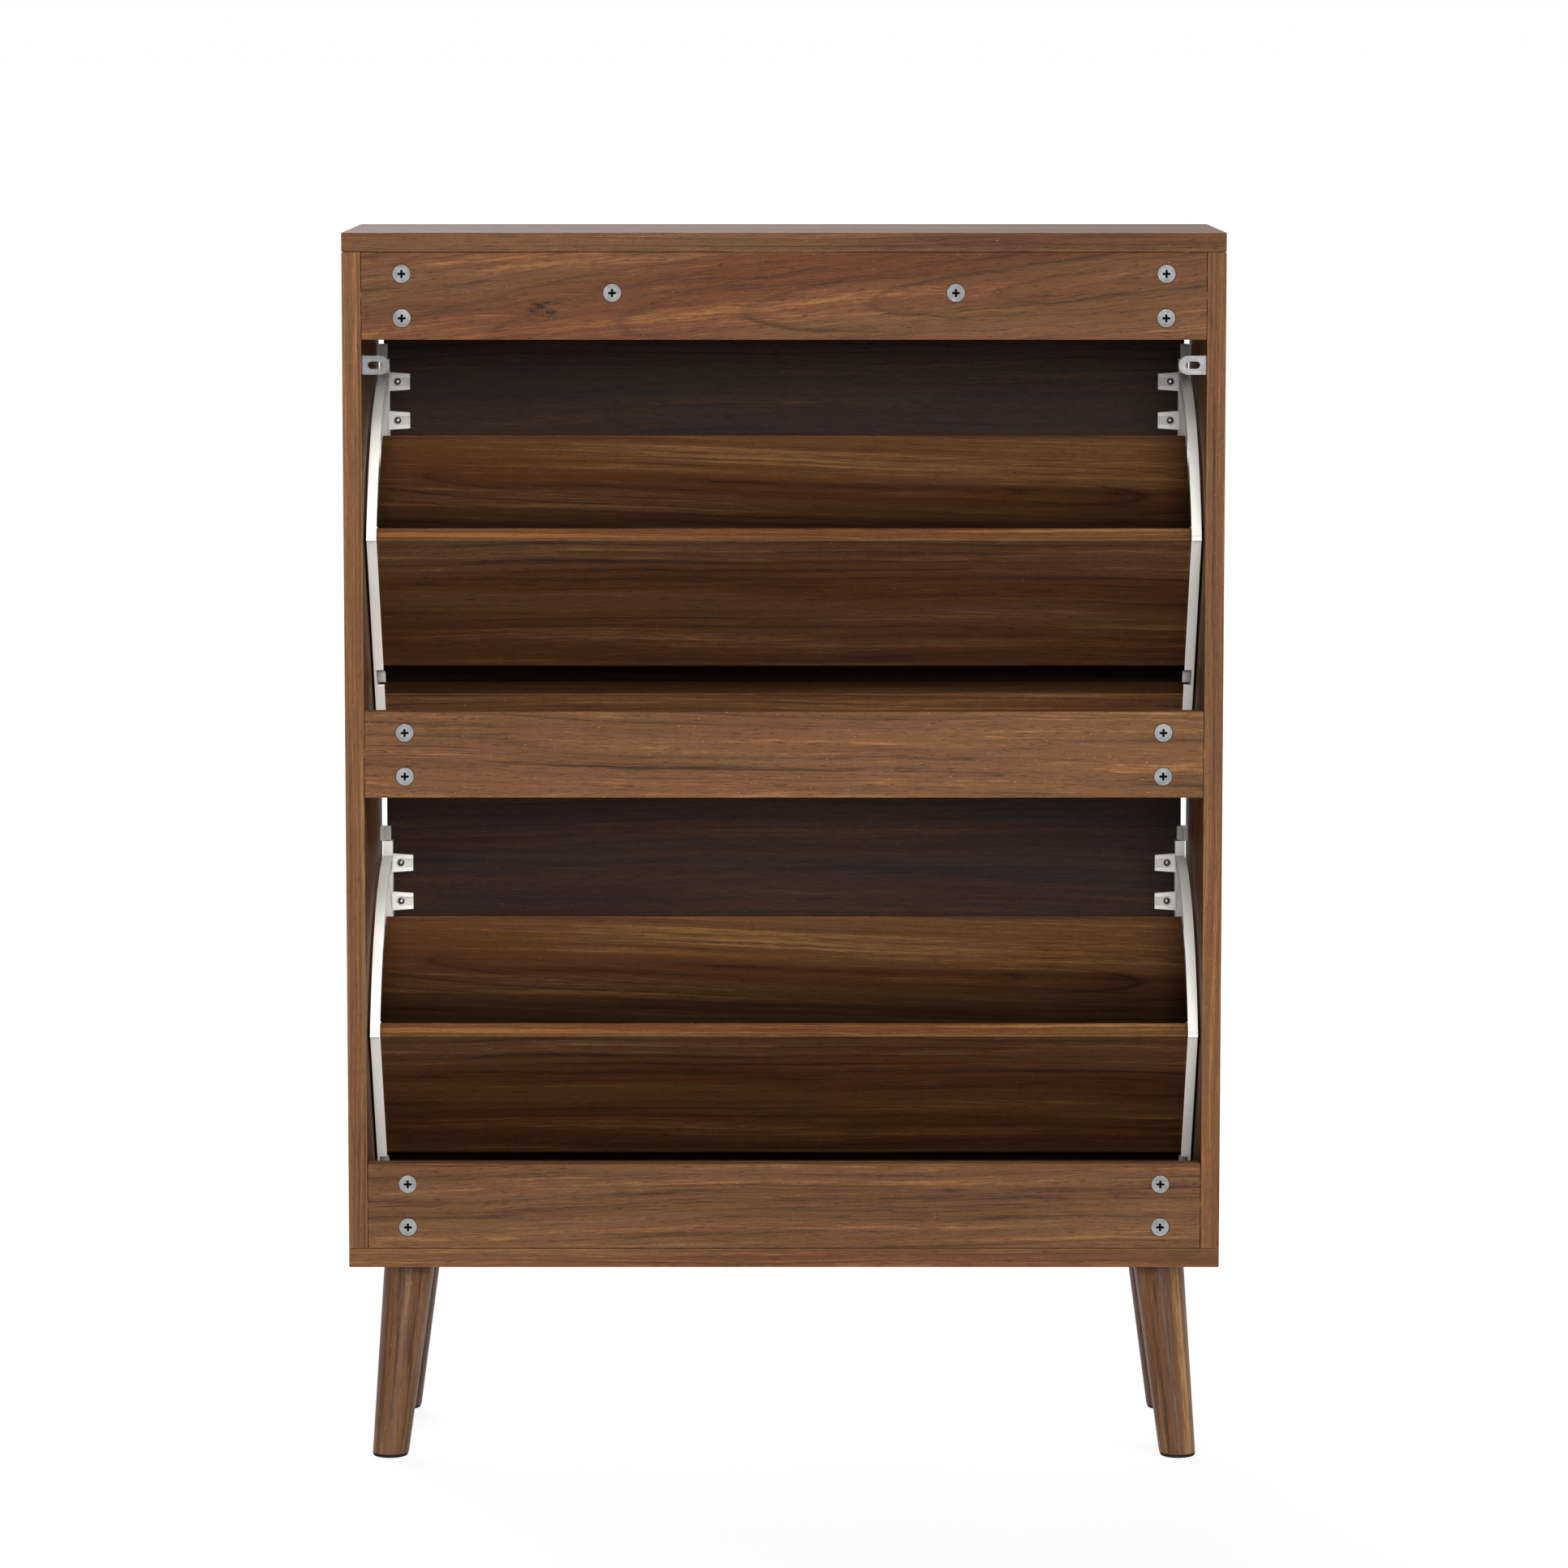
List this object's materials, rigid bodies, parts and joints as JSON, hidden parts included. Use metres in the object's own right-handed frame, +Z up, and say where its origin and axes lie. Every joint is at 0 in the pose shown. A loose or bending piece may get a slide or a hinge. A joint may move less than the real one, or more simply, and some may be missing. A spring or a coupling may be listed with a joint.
{
  "type": "shoe cabinet",
  "caption": "Slim walnut-veneer shoe cabinet with tilt-out drawers holding sloping racks, an open back with cross rails, wall brackets and splayed round legs.",
  "frame": {"origin": "on the floor under the middle of the cabinet", "axes": "+X to the cabinet's right seen from the front, -Y out of the fronts, +Y out of the open back, +Z up"},
  "size_m": [0.7, 0.24, 0.99],
  "materials": {
    "walnut_veneer": "satin veneer",
    "walnut_leg": "satin lacquer",
    "beech_dowel": "raw",
    "grey_plastic": "fine satin",
    "zinc": "zinc plated",
    "screw_steel": "bright",
    "black_steel": "satin black",
    "black_plastic": "moulded"
  },
  "bodies": {
    "carcass": {"top_panel": "walnut_veneer", "bottom_panel": "walnut_veneer", "left_side_panel": "walnut_veneer", "right_side_panel": "walnut_veneer", "top_back_rail": "walnut_veneer", "middle_back_rail": "walnut_veneer", "bottom_back_rail": "walnut_veneer", "rail_cam_nuts": "zinc", "rail_cam_bolts": "zinc", "side_cam_nuts": "zinc", "side_cam_bolts": "zinc", "wood_dowels": "beech_dowel", "front_left_leg": "walnut_leg", "front_right_leg": "walnut_leg", "rear_left_leg": "walnut_leg", "rear_right_leg": "walnut_leg", "front_left_leg_plate": "black_steel", "front_right_leg_plate": "black_steel", "rear_left_leg_plate": "black_steel", "rear_right_leg_plate": "black_steel", "front_left_foot_glide": "black_plastic", "front_right_foot_glide": "black_plastic", "rear_left_foot_glide": "black_plastic", "rear_right_foot_glide": "black_plastic", "leg_hanger_bolts": "zinc", "leg_plate_screws": "screw_steel", "left_wall_bracket": "zinc", "right_wall_bracket": "zinc", "wall_bracket_screws": "screw_steel", "upper_left_pivot_plate": "grey_plastic", "upper_right_pivot_plate": "grey_plastic", "lower_left_pivot_plate": "grey_plastic", "lower_right_pivot_plate": "grey_plastic", "pivot_plate_screws": "screw_steel", "upper_left_door_stop": "grey_plastic", "upper_right_door_stop": "grey_plastic", "lower_left_door_stop": "grey_plastic", "lower_right_door_stop": "grey_plastic", "door_stop_screws": "screw_steel"},
    "upper_drawer": {"upper_door": "walnut_veneer", "upper_left_rack_bracket": "grey_plastic", "upper_right_rack_bracket": "grey_plastic", "upper_shelf": "walnut_veneer", "upper_rear_board": "walnut_veneer", "upper_toe_shelf": "walnut_veneer", "upper_toe_board": "walnut_veneer", "upper_pivot_pins": "zinc", "upper_rack_screws": "screw_steel"},
    "lower_drawer": {"lower_door": "walnut_veneer", "lower_left_rack_bracket": "grey_plastic", "lower_right_rack_bracket": "grey_plastic", "lower_shelf": "walnut_veneer", "lower_rear_board": "walnut_veneer", "lower_toe_shelf": "walnut_veneer", "lower_toe_board": "walnut_veneer", "lower_pivot_pins": "zinc", "lower_rack_screws": "screw_steel"}
  },
  "joints": [
    {"name": "upper_drawer_tilt", "type": "hinge", "parent": "carcass", "child": "upper_drawer", "pos_m": [0, -0.085, 0.6215], "axis": [1, 0, 0], "range_deg": [0, 50]},
    {"name": "lower_drawer_tilt", "type": "hinge", "parent": "carcass", "child": "lower_drawer", "pos_m": [0, -0.085, 0.2215], "axis": [1, 0, 0], "range_deg": [0, 50]}
  ]
}
